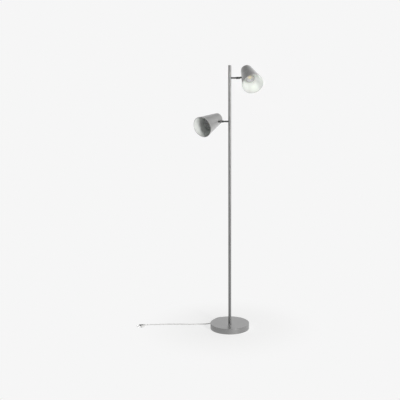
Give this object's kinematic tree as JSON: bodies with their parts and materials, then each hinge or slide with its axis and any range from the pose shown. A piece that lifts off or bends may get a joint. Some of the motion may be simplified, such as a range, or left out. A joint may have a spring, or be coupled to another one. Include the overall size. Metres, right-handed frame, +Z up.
{
  "type": "floor lamp",
  "caption": "Slim pole floor reading lamp with conical spot shades on short arms, each with swivel, tilt and turn joints and a push switch, on a round weighted base with mains cord.",
  "frame": {"origin": "centre of the round base, on the floor", "axes": "+Z up along the pole, +X along the upper arm, -Y towards the viewer of the picture"},
  "size_m": [0.7171, 0.2749, 1.5],
  "materials": {
    "grey_paint": "semi-gloss neutral grey paint, white inside the shades",
    "satin_metal": "satin grey metal",
    "cast_weight": "rough casting",
    "zinc_plate": "zinc plated",
    "foot_rubber": "soft matt",
    "cord_plastic": "matt light grey-white cord",
    "wire_plastic": "matt wire sheath",
    "tie_plastic": "matt band",
    "white_plastic": "white moulding",
    "ceramic": "white glazed ceramic",
    "pin_metal": "nickel plated pins",
    "lamp_glass": "clear lens",
    "emitter": "yellow light source, unlit"
  },
  "bodies": {
    "stand": {"base_cover": "grey_paint", "base_weight": "cast_weight", "base_plate": "zinc_plate", "base_feet": "foot_rubber", "plate_screws": "zinc_plate", "base_stud": "zinc_plate", "base_nut": "zinc_plate", "cord_grommet": "cord_plastic", "cord_tail": "cord_plastic", "terminal_block": "white_plastic", "pole_lower": "satin_metal", "pole_middle": "satin_metal", "pole_upper": "satin_metal", "pole_sleeve": "zinc_plate", "pole_joiners": "zinc_plate", "pole_cap": "satin_metal", "pole_wiring": "wire_plastic", "upper_arm": "satin_metal", "upper_arm_insert": "zinc_plate", "lower_arm": "satin_metal", "lower_arm_insert": "zinc_plate", "cord_lead": "cord_plastic", "cord_hank": "cord_plastic", "cord_run": "cord_plastic", "hank_tie": "tie_plastic", "plug_body": "cord_plastic", "plug_pins": "pin_metal"},
    "upper_yoke": {"upper_swivel_yoke": "satin_metal", "upper_swivel_grub": "zinc_plate", "upper_pivot_screw": "satin_metal"},
    "upper_stem": {"upper_stem": "satin_metal", "upper_stem_nut": "zinc_plate"},
    "upper_head": {"upper_shade": "grey_paint", "upper_holder_bracket": "zinc_plate", "upper_lampholder": "ceramic", "upper_holder_screws": "zinc_plate", "upper_lamp_body": "white_plastic", "upper_lamp_pins": "pin_metal", "upper_lamp_lens": "lamp_glass", "upper_lamp_emitter": "emitter", "upper_switch_body": "white_plastic", "upper_switch_nut": "satin_metal"},
    "upper_push": {"upper_button": "white_plastic"},
    "lower_yoke": {"lower_swivel_yoke": "satin_metal", "lower_swivel_grub": "zinc_plate", "lower_pivot_screw": "satin_metal"},
    "lower_stem": {"lower_stem": "satin_metal", "lower_stem_nut": "zinc_plate"},
    "lower_head": {"lower_shade": "grey_paint", "lower_holder_bracket": "zinc_plate", "lower_lampholder": "ceramic", "lower_holder_screws": "zinc_plate", "lower_lamp_body": "white_plastic", "lower_lamp_pins": "pin_metal", "lower_lamp_lens": "lamp_glass", "lower_lamp_emitter": "emitter", "lower_switch_body": "white_plastic", "lower_switch_nut": "satin_metal"},
    "lower_push": {"lower_button": "white_plastic"}
  },
  "joints": [
    {"name": "upper_swivel", "type": "hinge", "parent": "stand", "child": "upper_yoke", "pos_m": [0.05, 0, 1.431], "axis": [1, 0, 0], "range_deg": [-184.62, 145.38]},
    {"name": "upper_tilt", "type": "hinge", "parent": "upper_yoke", "child": "upper_stem", "pos_m": [0.05, 0, 1.431], "axis": [0, 0.9419, 0.3358], "range_deg": [-14.61, 45.39]},
    {"name": "upper_turn", "type": "hinge", "parent": "upper_stem", "child": "upper_head", "pos_m": [0.05, 0, 1.431], "axis": [0.9641, -0.0891, 0.25], "range_deg": [-84.8, 245.2]},
    {"name": "upper_press", "type": "slide", "parent": "upper_head", "child": "upper_push", "axis": [0.2156, -0.875, -0.4334], "range_m": [0, 0.0025], "stiffness_N_per_m": 400, "springref_m": -0.002},
    {"name": "lower_swivel", "type": "hinge", "parent": "stand", "child": "lower_yoke", "pos_m": [-0.05, 0, 1.1935], "axis": [-1, 0, 0], "range_deg": [-267.49, 62.51]},
    {"name": "lower_tilt", "type": "hinge", "parent": "lower_yoke", "child": "lower_stem", "pos_m": [-0.05, 0, 1.1935], "axis": [0, 0.2163, 0.9763], "range_deg": [-2.99, 57.01]},
    {"name": "lower_turn", "type": "hinge", "parent": "lower_stem", "child": "lower_head", "pos_m": [-0.05, 0, 1.1935], "axis": [-0.8909, 0.4434, -0.0982], "range_deg": [-141.85, 188.15]},
    {"name": "lower_press", "type": "slide", "parent": "lower_head", "child": "lower_push", "axis": [-0.5691, -0.792, -0.2208], "range_m": [0, 0.0025], "stiffness_N_per_m": 400, "springref_m": -0.002}
  ]
}
